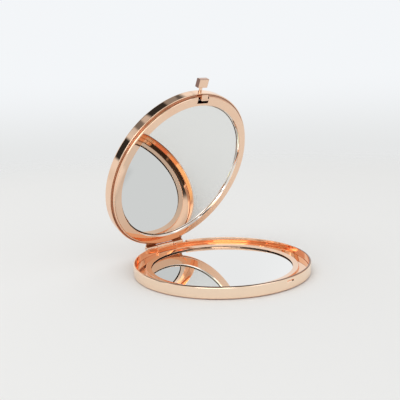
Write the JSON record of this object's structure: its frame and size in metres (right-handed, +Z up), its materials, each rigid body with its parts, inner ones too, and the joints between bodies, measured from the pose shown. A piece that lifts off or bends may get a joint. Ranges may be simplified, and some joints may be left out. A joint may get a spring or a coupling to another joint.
{
  "type": "handbag mirror",
  "caption": "Round folding handbag mirror: a polished metal base and lid on a barrel hinge, each with a mirror, and a sprung push button at the front that frees the latch.",
  "frame": {"origin": "centre of the base's flat underside, on the surface that it stands on", "axes": "+Z up through the centre of the base, the hinge along X at the back (+Y), the latch at the front (-Y); the lid stands open by 66.7 degrees"},
  "size_m": [0.07, 0.0744, 0.0752],
  "materials": {
    "rose_gold_plate": "polished rose gold plating",
    "bright_steel": "bright drawn wire",
    "spring_steel": "tempered strip",
    "silvered_glass": "silvered glass",
    "adhesive_foam": "thin adhesive foam"
  },
  "bodies": {
    "base": {"base_shell": "rose_gold_plate", "base_mirror_frame": "rose_gold_plate", "base_mirror": "silvered_glass", "base_mirror_pad": "adhesive_foam", "base_hinge_leaf": "rose_gold_plate", "hinge_pin": "bright_steel"},
    "lid": {"lid_shell": "rose_gold_plate", "lid_mirror_frame": "rose_gold_plate", "lid_mirror": "silvered_glass", "lid_mirror_pad": "adhesive_foam", "lid_hinge_leaf": "rose_gold_plate", "return_spring": "spring_steel"},
    "button": {"push_button": "rose_gold_plate", "button_stem": "rose_gold_plate", "latch_hook": "rose_gold_plate"}
  },
  "joints": [
    {"name": "lid_hinge", "type": "hinge", "parent": "base", "child": "lid", "pos_m": [0, 0.0357, 0.0039], "axis": [-1, 0, 0], "range_deg": [-66.7, 83.3]},
    {"name": "button_press", "type": "slide", "parent": "lid", "child": "button", "axis": [0, 0.3955, -0.9184], "range_m": [0, 0.0011], "stiffness_N_per_m": 500, "springref_m": -0.002, "deforming": ["return_spring"]}
  ]
}
